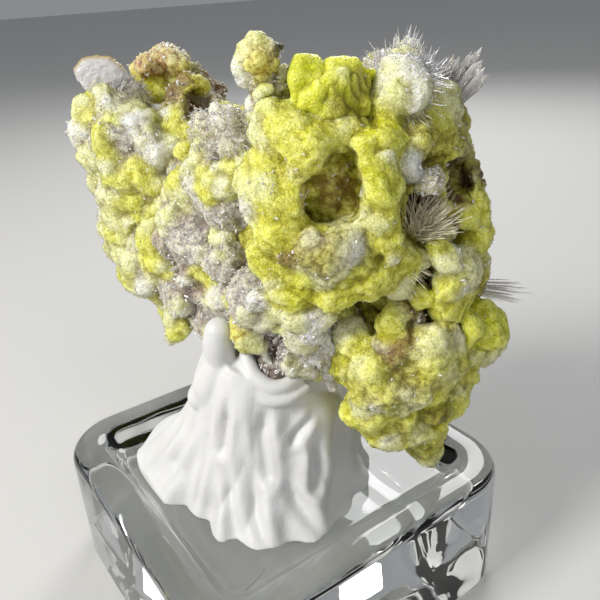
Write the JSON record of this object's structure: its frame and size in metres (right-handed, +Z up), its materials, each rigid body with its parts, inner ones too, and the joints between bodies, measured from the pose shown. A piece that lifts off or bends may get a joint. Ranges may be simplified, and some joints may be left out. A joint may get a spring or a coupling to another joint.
{
  "type": "creedite cluster on a display block",
  "caption": "Lime-yellow creedite crystal cluster, spiky and lumpy, set in a dab of white putty on a square clear glass block with a shallow dish.",
  "frame": {"origin": "centre of the glass block's flat underside", "axes": "+Z up through the block and the cluster, X and Y square to the block's sides; the display side of the cluster faces between -X and -Y"},
  "size_m": [0.0321, 0.0353, 0.0496],
  "materials": {
    "crystal_cluster": "sugary crystal crust, lime yellow with cream, grey and olive areas and clear crystal sprays",
    "putty": "satin, hand-pressed folds",
    "glass_block": "clear, polished, rounded edges"
  },
  "bodies": {
    "root": {"crystal_cluster": "crystal_cluster", "putty": "putty", "glass_block": "glass_block"}
  },
  "joints": []
}
